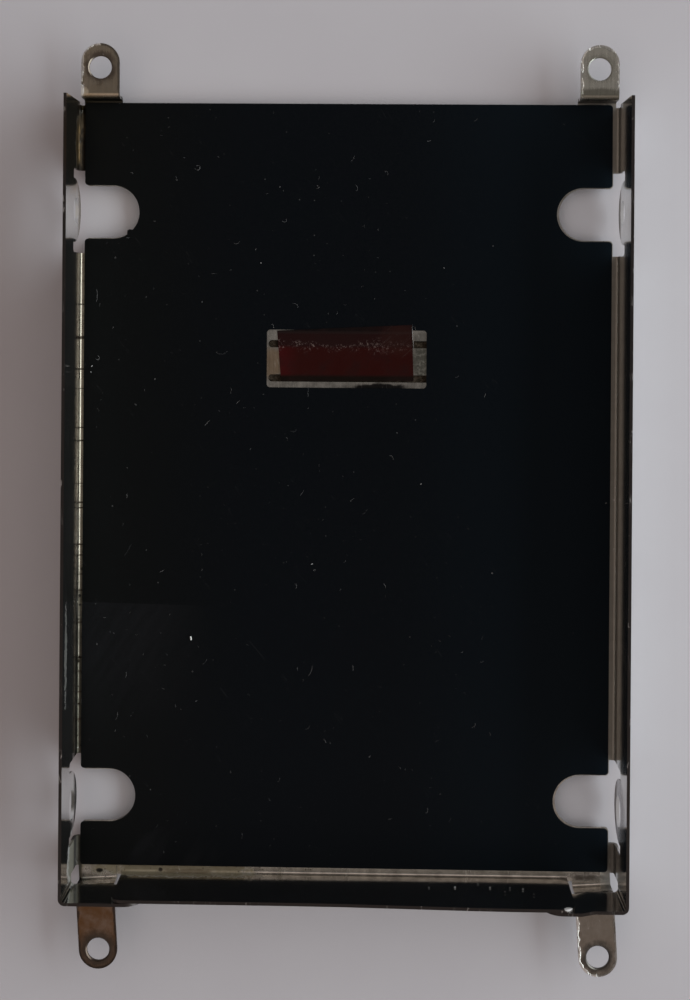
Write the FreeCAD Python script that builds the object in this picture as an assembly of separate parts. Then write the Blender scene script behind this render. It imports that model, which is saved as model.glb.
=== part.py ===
"""Folded steel tray for one 2.5-inch laptop drive, with its floor film and strap tape, in millimetres.

X runs across the tray, Y towards its open end and Z up. The origin is the middle of the underside,
halfway between the tips of the front and rear ears.
"""
import FreeCAD, Part
import os

V = FreeCAD.Vector

# The drive that the tray holds
DRIVE_WIDTH = 69.85
DRIVE_LENGTH = 100.2
DRIVE_HEIGHT = 9.5
FRONT_HOLE_INSET = 14.0           # from the drive's connector end to its first side hole
REAR_HOLE_INSET = 9.6             # from the drive's other end to its second side hole
SIDE_HOLE_RISE = 3.0              # above the drive's underside

# Room round the drive
SIDE_ROOM = 0.175
FRONT_ROOM = 0.28
REAR_ROOM = 0.1

# Sheet
SHEET = 0.4
BEND_RADIUS = 0.35                # inside of every fold
CORNER_RADIUS = 0.45              # inside of the two upright corners
PUNCH_ROUND = 0.5                 # corners left by the punch
FOLD_SETBACK = 0.35               # the side folds stop this short of the open edge

# Screw lugs in the side walls
NOTCH_WIDTH = 6.76
NOTCH_DEPTH = 7.75                # from the wall into the floor
LUG_WIDTH = 8.2
RELIEF_LENGTH = 10.8              # of the cut along the fold
RELIEF_DEPTH = 0.75               # of that cut into the floor
RELIEF_RISE = 4.7                 # of that cut up the wall, above the floor
SCREW_HOLE = 3.3
SCREW_SLOT_LENGTH = 4.1           # the rear holes are slots
REAR_LUG_SHIFT = 0.3              # from the middle of those slots forward to the middle of their lugs

# Ears
EAR_WIDTH = 4.95
EAR_RISE = 2.6
EAR_INSET = 2.9                   # from the side wall's inner face to the ear's middle
EAR_HOLE = 2.9
EAR_HOLE_CHAMFER = 0.15
FRONT_EAR_REACH = 4.29            # from the open edge to the hole
FRONT_EAR_RIM = 3.1               # from the hole's centre to the tip
REAR_EAR_REACH = 9.2              # from the end wall's inner face to the hole
REAR_EAR_RIM = 2.475
REAR_EAR_STEP = 0.95              # from the end wall's inner face to the riser
REAR_EAR_LEAN = 3.6               # degrees: both rear ears are bent sideways by use

# End wall, and the corner flaps behind it
END_WALL_GAP = 0.7                # between the end wall and each rear ear
END_WALL_ROUND = 1.5
END_WALL_PUSH = 0.3               # the right half of its top edge is pushed out by use
PUSH_START = -5.5                 # across the tray, from its middle
PUSH_END = 22.0
FLAP_LAP = 3.9
FLAP_CLEARANCE = 0.05
FLAP_LIFT = 0.7                   # above the ear that passes under it
FLAP_ROUND = 2.4
FLAP_JOGGLE = 1.5                 # length of the outward step in the right flap

# Strap between two slots in the floor
STRAP_INSET = 33.58               # from the open edge to the strap's middle
STRAP_WIDTH = 3.52
STRAP_SLOT_WIDTH = 0.95
STRAP_SLOT_LENGTH = 21.8
STRAP_SLOT_SHIFT = 0.55           # the slots reach further to the right than to the left

# Film
FILM = 0.15
FILM_SIDE_MARGIN = 0.7
FILM_SHIFT = -0.15                # the film was laid a little to the left
FILM_REAR_MARGIN = 0.88
FILM_NOTCH_MARGIN = 0.12
FILM_ROUND = 0.45
WINDOW_INSET = 33.28              # from the open edge to the window's middle
WINDOW_LENGTH = 20.85
WINDOW_WIDTH = 7.55

# Tape
TAPE = 0.06
TAPE_RAMP = 0.35                  # run over which the tape climbs on to the film
TAPE_CORNERS = [(-9.26, 3.95), (8.35, 4.81), (8.6, -2.49), (-8.69, -2.64)]      # from the strap's middle

# Sizes that follow from those
half_bay = DRIVE_WIDTH / 2 + SIDE_ROOM
half_width = half_bay + SHEET
bay_length = DRIVE_LENGTH + FRONT_ROOM + REAR_ROOM
front_edge = (bay_length + REAR_EAR_REACH + REAR_EAR_RIM - FRONT_EAR_REACH - FRONT_EAR_RIM) / 2
rear_face = front_edge - bay_length
outer_radius = BEND_RADIUS + SHEET
wall_top = SHEET + DRIVE_HEIGHT
front_row = front_edge - FRONT_ROOM - FRONT_HOLE_INSET
rear_row = rear_face + REAR_ROOM + REAR_HOLE_INSET
rear_lug = rear_row + REAR_LUG_SHIFT
screw_height = SHEET + FILM + SIDE_HOLE_RISE
ear_top = SHEET + EAR_RISE
ear_middle = half_bay - EAR_INSET
ear_inner = ear_middle - EAR_WIDTH / 2
ear_outer = ear_middle + EAR_WIDTH / 2
fold_end = rear_face + outer_radius                    # the floor and the side folds end here
end_wall_half = ear_inner - END_WALL_GAP
flap_bottom = ear_top + FLAP_LIFT
flap_face = rear_face - SHEET - FLAP_CLEARANCE
flap_end = end_wall_half - FLAP_LAP
strap_y = front_edge - STRAP_INSET
window_y = front_edge - WINDOW_INSET
film_top = SHEET + FILM


def box(x0, x1, y0, y1, z0, z1):
    """A box between two corners, given in either order."""
    low = V(min(x0, x1), min(y0, y1), min(z0, z1))
    return Part.makeBox(abs(x1 - x0), abs(y1 - y0), abs(z1 - z0), low)


def slot(length, width, depth):
    """A round-ended slot along X, standing on the origin. With length equal to width it is a round hole."""
    reach = (length - width) / 2
    tool = Part.makeCylinder(width / 2, depth, V(reach, 0, 0))
    if reach > 0:
        tool = tool.fuse(Part.makeCylinder(width / 2, depth, V(-reach, 0, 0)))
        tool = tool.fuse(box(-reach, reach, -width / 2, width / 2, 0, depth))
    return tool.removeSplitter()


def round_edges(solid, radius, wanted):
    """The solid with rounded edges: those straight ones whose middle and direction are wanted."""
    chosen = []
    for edge in solid.Edges:
        if edge.Curve.TypeId == "Part::GeomLine":
            ends = [vertex.Point for vertex in edge.Vertexes]
            if wanted((ends[0] + ends[1]) * 0.5, edge.tangentAt(edge.FirstParameter)):
                chosen.append(edge)
    return solid.makeFillet(radius, chosen)


def upright(direction):
    return abs(direction.z) > 0.99


def near(a, b):
    return abs(a - b) < 0.001


def folded(section, along, bends):
    """A folded strip, extruded from its sharp-cornered section. Bends gives the radius at section corners."""
    strip = Part.Face(Part.makePolygon(section + section[:1])).extrude(along)
    for index, radius in bends.items():
        fold = section[index] + along * 0.5
        strip = round_edges(strip, radius, lambda middle, direction: middle.distanceToPoint(fold) < 0.001)
    return strip


def corner_cut(x, side, radius):
    """The tool that rounds an upper corner of an upright end sheet, where x is the sheet's end on that side."""
    centre = x - side * radius
    waste = box(centre, x + side, rear_face - 2, rear_face + 2, wall_top - radius, wall_top + 1)
    return waste.cut(Part.makeCylinder(radius, 4, V(centre, rear_face - 2, wall_top - radius), V(0, 1, 0)))


def make_channel():
    """The floor and both side walls, folded along their length."""
    outer = [(-half_width, wall_top), (-half_width, 0), (half_width, 0), (half_width, wall_top)]
    inner = [(half_bay, wall_top), (half_bay, SHEET), (-half_bay, SHEET), (-half_bay, wall_top)]
    section = [V(x, fold_end, z) for x, z in outer + inner]
    bends = {1: outer_radius, 2: outer_radius, 5: BEND_RADIUS, 6: BEND_RADIUS}
    channel = folded(section, V(0, front_edge - fold_end, 0), bends)
    for side in (-1, 1):
        start = front_edge - FOLD_SETBACK
        channel = channel.cut(box(side * ear_outer, side * 2 * half_bay, start, front_edge + 1, -1, 2 * outer_radius))
    return channel


def push_at(x):
    """How far the end wall's top is pushed out at x: nothing on the left, then smoothly up to all of it."""
    share = min(max((x - PUSH_START) / (PUSH_END - PUSH_START), 0), 1)
    return END_WALL_PUSH * share * share * (3 - 2 * share)


def make_end_wall():
    """The end wall: a straight fold in the floor's edge, and above it a sheet that its pushed top bends."""
    knee = SHEET + 2 * BEND_RADIUS
    back = rear_face - SHEET
    corners = [(fold_end, 0), (back, 0), (back, knee), (rear_face, knee), (rear_face, SHEET), (fold_end, SHEET)]
    section = [V(-end_wall_half, y, z) for y, z in corners]
    fold = folded(section, V(2 * end_wall_half, 0, 0), {1: outer_radius, 4: BEND_RADIUS})
    outlines = []
    count = 9
    for index in range(count):
        x = end_wall_half * (2 * index / (count - 1) - 1)
        push = push_at(x)
        corners = [(rear_face, knee), (back, knee), (back - push, wall_top), (rear_face - push, wall_top)]
        outline = [V(x, y, z) for y, z in corners]
        outlines.append(Part.makePolygon(outline + outline[:1]))
    sheet = Part.makeLoft(outlines, True, False)
    for side in (-1, 1):
        sheet = sheet.cut(corner_cut(side * end_wall_half, side, END_WALL_ROUND))
    return fold.fuse(sheet)


def make_flap(side):
    """The rear end of one side wall, turned round the corner to lap behind the end wall."""
    push = push_at(side * flap_end)
    step = end_wall_half + END_WALL_GAP
    inner = [(half_bay, fold_end), (half_bay, flap_face), (step + FLAP_JOGGLE, flap_face)]
    inner += [(step, flap_face - push), (flap_end, flap_face - push)]
    outer = [(half_width, fold_end), (half_width, flap_face - SHEET)]
    outer += [(x, y - SHEET) for x, y in inner[2:]]
    section = [V(side * x, y, flap_bottom) for x, y in inner + outer[::-1]]
    bends = {1: CORNER_RADIUS, 8: CORNER_RADIUS + SHEET}
    flap = folded(section, V(0, 0, wall_top - flap_bottom), bends)
    return flap.cut(corner_cut(side * flap_end, -side, FLAP_ROUND))


def make_ear(side, root, riser, hole_y, rim, lean):
    """One ear: a strip that leaves the floor at root, steps up at the riser and ends round beyond its hole."""
    out = 1 if hole_y > root else -1
    tip = hole_y + out * rim
    back = riser + out * SHEET
    corners = [(root, SHEET), (riser, SHEET), (riser, ear_top), (tip, ear_top)]
    corners += [(tip, ear_top - SHEET), (back, ear_top - SHEET), (back, 0), (root, 0)]
    section = [V(-EAR_WIDTH / 2, y, z) for y, z in corners]
    bends = {1: BEND_RADIUS, 2: outer_radius, 5: BEND_RADIUS, 6: outer_radius}
    ear = folded(section, V(EAR_WIDTH, 0, 0), bends)
    centre = tip - out * EAR_WIDTH / 2
    plan = box(-EAR_WIDTH / 2, EAR_WIDTH / 2, root, centre, -1, wall_top)
    plan = plan.fuse(Part.makeCylinder(EAR_WIDTH / 2, wall_top + 1, V(0, centre, -1)))
    ear = ear.common(plan)
    radius = EAR_HOLE / 2
    ear = ear.cut(Part.makeCylinder(radius, wall_top, V(0, hole_y, 0)))
    flare = 2 * EAR_HOLE_CHAMFER
    ear = ear.cut(Part.makeCone(radius, radius + flare, flare, V(0, hole_y, ear_top - EAR_HOLE_CHAMFER)))
    ear.rotate(V(0, riser, 0), V(0, 0, 1), lean)
    ear.translate(V(side * ear_middle, 0, 0))
    return ear


def notch_tool(side, row, margin, shift):
    """The round-ended notch that runs from the floor out past the wall at one screw lug."""
    width = NOTCH_WIDTH + 2 * margin
    length = 4 * NOTCH_DEPTH
    tool = slot(length, width, 2 * outer_radius)
    inner_end = half_bay - NOTCH_DEPTH - margin
    tool.translate(V(side * (inner_end + length / 2) + shift, row, -outer_radius))
    return tool


def relief_tool(side, row):
    """The cut along the fold at one screw lug, with the notch: first in the floor, then up the wall."""
    mouth = half_bay - RELIEF_DEPTH
    low = row - RELIEF_LENGTH / 2
    high = row + RELIEF_LENGTH / 2
    in_floor = box(side * mouth, side * 2 * half_bay, low, high, -outer_radius, outer_radius)
    in_floor = in_floor.fuse(notch_tool(side, row, 0, 0)).removeSplitter()
    in_floor = round_edges(in_floor, PUNCH_ROUND, lambda middle, direction: (
        upright(direction) and near(middle.x, side * mouth) and near(abs(middle.y - row), NOTCH_WIDTH / 2)))
    fold = half_bay - BEND_RADIUS
    in_wall = box(side * fold, side * 2 * half_bay, low, high, -outer_radius, SHEET + RELIEF_RISE)
    in_wall = round_edges(in_wall, PUNCH_ROUND, lambda middle, direction: abs(direction.x) > 0.99 and middle.z > 0)
    return in_floor.fuse(in_wall)


def make_lug(side, middle, row, hole_length):
    """The flat lug that hangs from the side wall in its relief, with the screw hole at its row."""
    centre = SHEET + LUG_WIDTH / 2
    left = min(side * half_bay, side * half_width)
    lug = Part.makeCylinder(LUG_WIDTH / 2, SHEET, V(left, middle, centre), V(1, 0, 0))
    lug = lug.common(box(left, left + SHEET, middle - LUG_WIDTH, middle + LUG_WIDTH, 0, centre))
    low = middle - LUG_WIDTH / 2
    high = middle + LUG_WIDTH / 2
    lug = lug.fuse(box(left, left + SHEET, low, high, centre, SHEET + RELIEF_RISE))
    hole = slot(hole_length, SCREW_HOLE, 3 * SHEET)
    hole.rotate(V(0, 0, 0), V(1, 1, 1), 120)
    hole.translate(V(left - SHEET, row, screw_height))
    return lug.cut(hole), hole


def make_tray():
    """The whole folded sheet."""
    sheet = make_channel()
    for side in (-1, 1):
        for middle, row, length in ((front_row, front_row, SCREW_HOLE), (rear_lug, rear_row, SCREW_SLOT_LENGTH)):
            lug, hole = make_lug(side, middle, row, length)
            sheet = sheet.cut(relief_tool(side, middle)).fuse(lug).cut(hole)
    for side in (-1, 1):
        tool = slot(STRAP_SLOT_LENGTH, STRAP_SLOT_WIDTH, 3 * SHEET)
        tool.translate(V(STRAP_SLOT_SHIFT, strap_y + side * (STRAP_WIDTH + STRAP_SLOT_WIDTH) / 2, -SHEET))
        sheet = sheet.cut(tool)
    sheet = sheet.fuse(make_end_wall())
    for side in (-1, 1):
        # Between the end wall and each rear ear the floor runs on to the end wall's back.
        sheet = sheet.fuse(box(side * end_wall_half, side * ear_inner, fold_end, rear_face - SHEET, 0, SHEET))
        root = front_edge - EAR_WIDTH / 2
        hole_y = front_edge + FRONT_EAR_REACH
        front_ear = make_ear(side, root, front_edge + BEND_RADIUS, hole_y, FRONT_EAR_RIM, 0)
        root = fold_end + EAR_WIDTH / 2
        hole_y = rear_face - REAR_EAR_REACH
        rear_ear = make_ear(side, root, rear_face - REAR_EAR_STEP, hole_y, REAR_EAR_RIM, REAR_EAR_LEAN)
        sheet = sheet.fuse(make_flap(side)).fuse(front_ear).fuse(rear_ear)
    return sheet.removeSplitter()


def make_film():
    """The floor film, with its four notches and its window."""
    left = FILM_SHIFT - half_bay + FILM_SIDE_MARGIN
    right = FILM_SHIFT + half_bay - FILM_SIDE_MARGIN
    film = box(left, right, rear_face + FILM_REAR_MARGIN, front_edge, SHEET, film_top)
    for side in (-1, 1):
        for row in (front_row, rear_lug):
            film = film.cut(notch_tool(side, row, FILM_NOTCH_MARGIN, FILM_SHIFT))
    film = round_edges(film, FILM_ROUND, lambda middle, direction: (
        upright(direction) and (near(middle.x, left) or near(middle.x, right))))
    window = box(-WINDOW_LENGTH / 2, WINDOW_LENGTH / 2, -WINDOW_WIDTH / 2, WINDOW_WIDTH / 2, 0, 2 * film_top)
    window = round_edges(window, FILM_ROUND, lambda middle, direction: upright(direction))
    window.translate(V(FILM_SHIFT, window_y, 0))
    return film.cut(window)


def make_tape():
    """The tape patch: flat on the strap, then up a short ramp on to the edge of the film."""
    climb_end = window_y + WINDOW_WIDTH / 2 - FILM
    path = [(strap_y - 2 * STRAP_WIDTH, SHEET), (climb_end - TAPE_RAMP, SHEET)]
    path += [(climb_end, film_top), (strap_y + 2 * STRAP_WIDTH, film_top)]
    under = [V(-WINDOW_LENGTH, y, z) for y, z in path]
    over = [point + V(0, 0, TAPE) for point in under]
    blanket = folded(under + over[::-1], V(2 * WINDOW_LENGTH, 0, 0), {})
    corners = [V(x, strap_y + y, 0) for x, y in TAPE_CORNERS]
    plan = Part.Face(Part.makePolygon(corners + corners[:1])).extrude(V(0, 0, wall_top))
    return blanket.common(plan)


os.makedirs("parts", exist_ok=True)
for name, make in (("tray", make_tray), ("floor_film", make_film), ("strap_tape", make_tape)):
    shape = make()
    solid = shape.Solids[0]
    print(name, len(shape.Solids), "solid,", round(solid.Volume, 2), "mm3, valid", solid.isValid())
    solid.exportStep("parts/" + name + ".step")
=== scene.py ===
# %% [markdown]
# # A drive caddy from a laptop
# The object is a shallow steel tray, folded from one thin sheet, with a black film on its floor and a scrap
# of red-brown tape over a strap in the middle. The solids come ready made, so this lesson is about looks: a
# camera set where the photograph was taken, soft window light, and three finishes with real dirt.

# %% Open the frame
import math
import random

import bmesh
import bpy
from mathutils import Matrix, Vector


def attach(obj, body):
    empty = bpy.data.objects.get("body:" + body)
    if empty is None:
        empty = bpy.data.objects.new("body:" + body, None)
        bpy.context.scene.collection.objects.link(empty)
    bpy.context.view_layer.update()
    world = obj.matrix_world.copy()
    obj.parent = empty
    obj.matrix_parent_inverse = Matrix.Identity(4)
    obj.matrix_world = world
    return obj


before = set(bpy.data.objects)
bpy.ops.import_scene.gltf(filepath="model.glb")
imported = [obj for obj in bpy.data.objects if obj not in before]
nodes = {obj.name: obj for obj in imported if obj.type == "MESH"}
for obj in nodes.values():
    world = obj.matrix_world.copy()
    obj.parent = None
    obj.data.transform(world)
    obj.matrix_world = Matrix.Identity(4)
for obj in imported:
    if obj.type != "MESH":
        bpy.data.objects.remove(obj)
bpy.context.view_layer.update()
MM = 0.001

# %% [markdown]
# ## Camera
# The tray was photographed from straight above, and a little nearer its open end than its middle. A camera
# could be aimed by eye, but the walls show how far each of them leans away from the lens, so the place, the
# two small turns and the lens were worked out from the tray's own corners. The picture is treated as cut
# from a taller one, and the camera's shift stands for that cut.

# %% Camera
IMAGE_WIDTH = 690
IMAGE_HEIGHT = 1000
SENSOR = 36
EYE = Vector((3.626, 26.511, 195.27)) * MM
TURN = 0.0074                       # radians, about the upright axis
ROLL = 0.0207                       # radians, about the tray's length
LENS_PIXELS = 1493.07
AXIS_ROW = 302.86                   # the picture row that the lens points at

camera_data = bpy.data.cameras.new("camera")
camera_data.sensor_width = SENSOR
camera_data.lens = SENSOR * LENS_PIXELS / IMAGE_HEIGHT
camera_data.shift_y = (AXIS_ROW - IMAGE_HEIGHT / 2) / IMAGE_HEIGHT
camera_data.clip_start = 0.005
camera = bpy.data.objects.new("camera", camera_data)
camera.matrix_world = Matrix.Translation(EYE) @ Matrix.Rotation(TURN, 4, "Z") @ Matrix.Rotation(ROLL, 4, "Y")
bpy.context.scene.collection.objects.link(camera)
bpy.context.scene.camera = camera


def spot(column, row, height):
    """The point, at a height in millimetres, that shows at a column and row of the picture."""
    ray = Vector(((column - IMAGE_WIDTH / 2) / LENS_PIXELS, (AXIS_ROW - row) / LENS_PIXELS, -1))
    ray = camera.matrix_world.to_3x3() @ ray
    return EYE + ray * ((height * MM - EYE.z) / ray.z)


print("lens", round(camera_data.lens, 2), "mm, middle of the picture at",
      [round(v / MM, 1) for v in spot(IMAGE_WIDTH / 2, IMAGE_HEIGHT / 2, 0)])

# %% [markdown]
# ## Node helpers
# Every finish below is a small network of nodes. Built one statement per socket it would fill pages, so a
# few helpers add a node, do sums, and spread a value smoothly between two limits.

# %% Node helpers
def add(tree, kind, inputs=None, **settings):
    """Adds a node. Inputs maps a socket's name or number to a value, or to the output that feeds it."""
    node = tree.nodes.new("ShaderNode" + kind)
    for name, value in settings.items():
        setattr(node, name, value)
    for name, value in (inputs or {}).items():
        if isinstance(value, bpy.types.NodeSocket):
            tree.links.new(value, node.inputs[name])
        else:
            node.inputs[name].default_value = value
    return node


def calc(tree, operation, *values):
    """A sum of values or outputs, such as ADD or MULTIPLY."""
    return add(tree, "Math", dict(enumerate(values)), operation=operation).outputs[0]


def vector_calc(tree, operation, *values):
    """The same for vectors."""
    return add(tree, "VectorMath", dict(enumerate(values)), operation=operation).outputs[0]


def length_of(tree, vector):
    """How long a vector is."""
    return add(tree, "VectorMath", {0: vector}, operation="LENGTH").outputs["Value"]


def spread(tree, value, low, high, start=0.0, end=1.0):
    """Smoothly from start, where the value is low, to end, where it is high."""
    limits = {"Value": value, "From Min": low, "From Max": high, "To Min": start, "To Max": end}
    return add(tree, "MapRange", limits, interpolation_type="SMOOTHSTEP").outputs[0]


def mix(tree, factor, first, second, blend="MIX"):
    """Two colours mixed by a factor."""
    return add(tree, "Mix", {0: factor, 6: first, 7: second}, data_type="RGBA", blend_type=blend).outputs[2]


def noise(tree, place, scale, detail=2.0, rough=0.5):
    """Cloudy noise from 0 to 1, with so many lumps per millimetre."""
    settings = {"Vector": place, "Scale": scale, "Detail": detail, "Roughness": rough}
    return add(tree, "TexNoise", settings).outputs[0]


print("sums and noise ready")

# %% [markdown]
# ## Materials and groups
# A material starts from the place on the part in millimetres, so a stain can be put down with a ruler. What
# several materials share is a node group: a box of nodes with named sockets that is built once.

# %% Materials and groups
def new_material(name):
    """A material, its nodes, its shader and the place on the part in millimetres."""
    material = bpy.data.materials.new(name)
    material.use_nodes = True
    tree = material.node_tree
    here = add(tree, "TexCoord").outputs["Object"]
    place = vector_calc(tree, "MULTIPLY", here, (1 / MM, 1 / MM, 1 / MM))
    return material, tree, tree.nodes["Principled BSDF"], place


def new_group(name, inputs, outputs):
    """A node group with named sockets. It gives the group, what comes in and where the results go."""
    group = bpy.data.node_groups.new(name, "ShaderNodeTree")
    for label, kind in inputs:
        group.interface.new_socket(label, in_out="INPUT", socket_type="NodeSocket" + kind)
    for label, kind in outputs:
        group.interface.new_socket(label, in_out="OUTPUT", socket_type="NodeSocket" + kind)
    return group, group.nodes.new("NodeGroupInput").outputs, group.nodes.new("NodeGroupOutput").inputs


def use(tree, group, **inputs):
    """Places a node group in a tree and gives its first output."""
    return add(tree, "Group", {key.replace("_", " "): value for key, value in inputs.items()},
               node_tree=group).outputs[0]


print("materials and groups ready")

# %% [markdown]
# ## Dust
# Dust lies on the film, and pits and specks on the steel are strewn in the same way. It is a scatter of
# cells, a few of which hold a grain. The grains differ in size, and a little noise bends them out of round.

# %% Dust
WOBBLE = (0.16, 0.16, 0.16)
dust, come_in, go_out = new_group(
    "dust", [("Place", "Vector"), ("Per mm", "Float"), ("Share", "Float"), ("Grain", "Float")],
    [("Mask", "Float")])
wobble = add(dust, "TexNoise", {"Vector": come_in["Place"], "Scale": 9.0, "Detail": 1.0}).outputs[1]
shaken = vector_calc(dust, "ADD", come_in["Place"], vector_calc(dust, "MULTIPLY", wobble, WOBBLE))
cells = add(dust, "TexVoronoi", {"Vector": shaken, "Scale": come_in["Per mm"]})
chance = add(dust, "SeparateColor", {0: cells.outputs["Color"]})
held = calc(dust, "LESS_THAN", chance.outputs[0], come_in["Share"])
reach = calc(dust, "MULTIPLY", come_in["Grain"], calc(dust, "ADD", chance.outputs[1], 0.25))
near = calc(dust, "SUBTRACT", 1.0, calc(dust, "DIVIDE", cells.outputs["Distance"], reach))
dust.links.new(calc(dust, "MULTIPLY", held, spread(dust, near, 0.0, 0.35)), go_out["Mask"])
print("group", dust.name, len(dust.nodes), "nodes")

# %% [markdown]
# ## Scratches
# Fine scratches mostly run one way and break off. Drawn one by one they would be hundreds of lines. Here
# they are the thin contour lines of a noise that is stretched far along one direction, and a second noise
# breaks them.

# %% Scratches
STRETCH = (0.06, 1.0, 1.0)
scratches, come_in, go_out = new_group(
    "scratches", [("Place", "Vector"), ("Angle", "Float"), ("Per mm", "Float"), ("Width", "Float"),
                  ("Share", "Float")], [("Mask", "Float")])
turned = add(scratches, "VectorRotate", {"Vector": come_in["Place"], "Angle": come_in["Angle"]},
             rotation_type="Z_AXIS").outputs[0]
drawn = vector_calc(scratches, "MULTIPLY", turned, STRETCH)
lines = add(scratches, "TexNoise", {"Vector": drawn, "Scale": come_in["Per mm"], "Detail": 1.0}).outputs[0]
off_line = calc(scratches, "ABSOLUTE", calc(scratches, "SUBTRACT", lines, 0.5))
line = calc(scratches, "SUBTRACT", 1.0, calc(scratches, "DIVIDE", off_line, come_in["Width"]))
broken = add(scratches, "TexNoise", {"Vector": turned, "Scale": 0.35, "Detail": 2.0}).outputs[0]
kept = calc(scratches, "LESS_THAN", broken, come_in["Share"])
scratches.links.new(calc(scratches, "MULTIPLY", kept, spread(scratches, line, 0.0, 1.0)), go_out["Mask"])
print("group", scratches.name, len(scratches.nodes), "nodes")

# %% [markdown]
# ## Patch
# Stains, smears and worn places are blots round a point. A patch is full in its middle, fades out towards
# its reach, and has a ragged edge, because noise is added to the distance before it fades.

# %% Patch
FULL_WITHIN = 0.55                  # of the reach
patch, come_in, go_out = new_group(
    "patch", [("Place", "Vector"), ("Centre", "Vector"), ("Reach", "Vector"), ("Ragged", "Float")],
    [("Mask", "Float")])
away = vector_calc(patch, "SUBTRACT", come_in["Place"], come_in["Centre"])
distance = length_of(patch, vector_calc(patch, "DIVIDE", away, come_in["Reach"]))
torn = add(patch, "TexNoise", {"Vector": come_in["Place"], "Scale": 0.9, "Detail": 5.0, "Roughness": 0.65})
torn = calc(patch, "MULTIPLY", calc(patch, "SUBTRACT", torn.outputs[0], 0.5), come_in["Ragged"])
patch.links.new(spread(patch, calc(patch, "ADD", distance, torn), 1.0, FULL_WITHIN), go_out["Mask"])
print("group", patch.name, len(patch.nodes), "nodes")

# %% [markdown]
# ## Steel
# The tray is bare rolled stainless. Its walls are bright enough to mirror the film, so they look almost
# black from above, and only the folds catch the window. A plain grey would miss that: this is a metal with
# low roughness and a rolled grain along the tray, brighter on the walls than on the floor and the folds,
# which use and glue have dulled.

# %% Steel: the rolled sheet
WALL_BRIGHT = (0.80, 0.79, 0.77, 1)
WALL_CLOUDED = (0.69, 0.68, 0.65, 1)
FLOOR_PALE = (0.56, 0.54, 0.49, 1)
FLOOR_DARK = (0.36, 0.345, 0.31, 1)
FOLD_DARK = (0.25, 0.24, 0.215, 1)
ROLLING = (7.0, 0.3, 7.0)           # lumps per mm, so the grain runs along the tray
steel, tree, shader, place = new_material("bare_steel")
x, y, z = add(tree, "SeparateXYZ", {0: place}).outputs
from_middle = calc(tree, "ABSOLUTE", x)
rolled = noise(tree, vector_calc(tree, "MULTIPLY", place, ROLLING), 1.0, 3.0)
cloud = noise(tree, place, 0.13, 6.0, 0.62)
mottle = noise(tree, place, 0.8, 4.0, 0.6)
low = calc(tree, "MULTIPLY", spread(tree, z, 3.2, 1.1), spread(tree, from_middle, 35.48, 35.44))
colour = mix(tree, spread(tree, cloud, 0.35, 0.7), WALL_BRIGHT, WALL_CLOUDED)
dulled = mix(tree, spread(tree, mottle, 0.3, 0.7), FLOOR_PALE, FLOOR_DARK)
dulled = mix(tree, spread(tree, from_middle, 33.8, 34.4, 0.0, 0.85), dulled, FOLD_DARK)
colour = mix(tree, low, colour, dulled)
rough = calc(tree, "ADD", spread(tree, rolled, 0.3, 0.7, 0.08, 0.16), calc(tree, "MULTIPLY", low, 0.10))
print(steel.name, len(tree.nodes), "nodes so far")

# %% [markdown]
# ### Laying dirt and painted light
# Dirt changes three things at once: the colour, the roughness, and how much of the metal still shows. The
# shader takes one colour for metal and dirt, so thick dirt also lowers the metallic value. A faint bloom on
# the left wall starts that off. The same helper also lays the few painted highlights and painted shades
# below.

# %% Steel: laying dirt
BLOOM = 0.0045
cover = spread(tree, x, -34.9, -35.0, 0.0, BLOOM)       # how far dirt hides the metal


def lay(mask, tint, duller=0.0, hides=0.0):
    """Lays stains and painted light and shade on the steel where the mask is 1: a colour, some roughness, and
    how much metal it hides.
    """
    global colour, rough, cover
    colour = mix(tree, mask, colour, (*tint, 1))
    rough = calc(tree, "ADD", rough, calc(tree, "MULTIPLY", mask, duller))
    if hides:
        cover = calc(tree, "MAXIMUM", cover, calc(tree, "MULTIPLY", mask, hides))


def both(*masks):
    """The masks multiplied, so the result is full only where all of them are."""
    product = masks[0]
    for mask in masks[1:]:
        product = calc(tree, "MULTIPLY", product, mask)
    return product


def either(*masks):
    """The largest of the masks."""
    largest = masks[0]
    for mask in masks[1:]:
        largest = calc(tree, "MAXIMUM", largest, mask)
    return largest


print("bloom", BLOOM)

# %% [markdown]
# ### Cut edges
# A sheared edge is torn and dark, not polished like the face of the sheet. Such edges could be picked by
# hand, but the surface already tells them apart: on a side wall they are the faces that don't look
# sideways, and on the end wall those that don't look along the tray. Their dark colour is also painted
# shade, for the thin shadow along each cut edge. The punched lugs are dark on their inner side only.
# Screws have scraped the holes in them, and the holes are painted pale as a painted highlight for the
# light their bores catch.

# %% Steel: cut edges
LUG_ROWS = (38.15, -38.45)          # middle of the front and rear lugs along the tray, in mm
EDGE_DARK_AND_SHADED = (0.040, 0.035, 0.033)
HOLE_PAINTED_HIGHLIGHT = (0.36, 0.355, 0.36)
facing = add(tree, "SeparateXYZ", {0: add(tree, "NewGeometry").outputs["Normal"]}).outputs
in_side = both(calc(tree, "GREATER_THAN", from_middle, 35.02), calc(tree, "GREATER_THAN", z, 1.2))
punched = either(calc(tree, "GREATER_THAN", z, 6.0), calc(tree, "LESS_THAN", from_middle, 35.24))
not_sideways = calc(tree, "LESS_THAN", calc(tree, "ABSOLUTE", facing[0]), 0.6)
in_end = both(calc(tree, "LESS_THAN", y, -48.05), calc(tree, "GREATER_THAN", z, 3.4))
not_along = calc(tree, "LESS_THAN", calc(tree, "ABSOLUTE", facing[1]), 0.6)
sheared = either(both(in_side, not_sideways, punched), both(in_end, not_along))
worn_edge = noise(tree, vector_calc(tree, "MULTIPLY", place, (1.0, 0.35, 1.0)), 1.0, 4.0, 0.7)
# cut edges: torn dark metal, and painted shade along the edge
lay(both(sheared, spread(tree, worn_edge, 0.74, 0.62)), EDGE_DARK_AND_SHADED, 0.25)
from_row = [calc(tree, "ABSOLUTE", calc(tree, "SUBTRACT", y, row)) for row in LUG_ROWS]
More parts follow.
